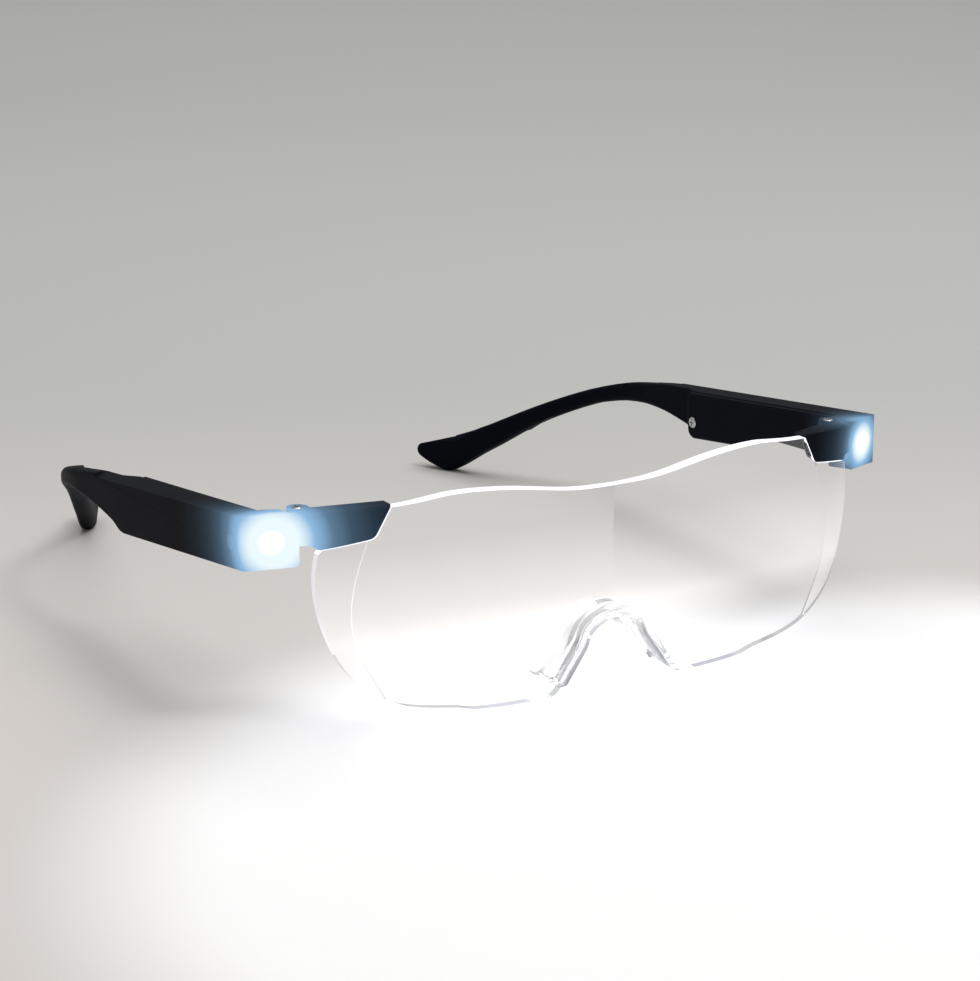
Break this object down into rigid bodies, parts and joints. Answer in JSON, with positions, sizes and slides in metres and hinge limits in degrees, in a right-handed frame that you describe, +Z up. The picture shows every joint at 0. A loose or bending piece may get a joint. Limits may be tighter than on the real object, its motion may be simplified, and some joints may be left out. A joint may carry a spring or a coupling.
{
  "type": "lighted magnifier glasses",
  "caption": "Clear wrap-round magnifying shield with a soft nose saddle and black folding temples that carry lamps, push buttons, cells and charging sockets.",
  "frame": {"origin": "centre of the bounding box in plan, on the level of the surface that it rests on", "axes": "+X to the wearer's left, +Y backwards along the temples, +Z up"},
  "size_m": [0.1606, 0.1737, 0.0479],
  "materials": {
    "clear_plastic": "clear polished acrylic",
    "silicone": "clear soft silicone",
    "black_plastic": "fine satin black moulding",
    "steel": "plain small steel parts",
    "cell_sleeve": "plain grey wrap",
    "board": "green coated board",
    "lamp_board": "white coated board",
    "chip_black": "moulded housing",
    "button_plastic": "satin black cap",
    "lamp_chip": "phosphor coated chip",
    "lamp_lens": "clear moulded dome",
    "lead_sleeve": "thin insulated lead"
  },
  "bodies": {
    "front": {"lens": "clear_plastic", "nose_piece": "silicone", "left_end_piece": "black_plastic", "right_end_piece": "black_plastic", "hinge_screws": "steel", "lens_screws": "steel"},
    "left_temple": {"left_temple_shell": "black_plastic", "left_inner_cover": "black_plastic", "left_cover_screw": "steel", "left_battery": "cell_sleeve", "left_circuit_board": "board", "left_controller_chip": "chip_black", "left_switch_body": "chip_black", "left_led_chip": "lamp_chip", "left_led_board": "lamp_board", "left_led_dome": "lamp_lens", "left_charge_socket": "steel", "left_battery_leads": "lead_sleeve", "left_led_leads": "lead_sleeve"},
    "left_button": {"left_power_button": "button_plastic", "left_switch_plunger": "button_plastic"},
    "right_temple": {"right_temple_shell": "black_plastic", "right_inner_cover": "black_plastic", "right_cover_screw": "steel", "right_battery": "cell_sleeve", "right_circuit_board": "board", "right_controller_chip": "chip_black", "right_switch_body": "chip_black", "right_led_chip": "lamp_chip", "right_led_board": "lamp_board", "right_led_dome": "lamp_lens", "right_charge_socket": "steel", "right_battery_leads": "lead_sleeve", "right_led_leads": "lead_sleeve"},
    "right_button": {"right_power_button": "button_plastic", "right_switch_plunger": "button_plastic"}
  },
  "joints": [
    {"name": "left_temple_fold", "type": "hinge", "parent": "front", "child": "left_temple", "pos_m": [0.0673, -0.06996, 0.0428], "axis": [0, 0, 1], "range_deg": [0, 88]},
    {"name": "right_temple_fold", "type": "hinge", "parent": "front", "child": "right_temple", "pos_m": [-0.0673, -0.06996, 0.0428], "axis": [0, 0, -1], "range_deg": [0, 73]},
    {"name": "left_button_press", "type": "slide", "parent": "left_temple", "child": "left_button", "axis": [-1, 0, 0], "range_m": [0, 0.0004], "stiffness_N_per_m": 2000, "springref_m": -0.0002},
    {"name": "right_button_press", "type": "slide", "parent": "right_temple", "child": "right_button", "axis": [1, 0, 0], "range_m": [0, 0.0004], "stiffness_N_per_m": 2000, "springref_m": -0.0002}
  ]
}
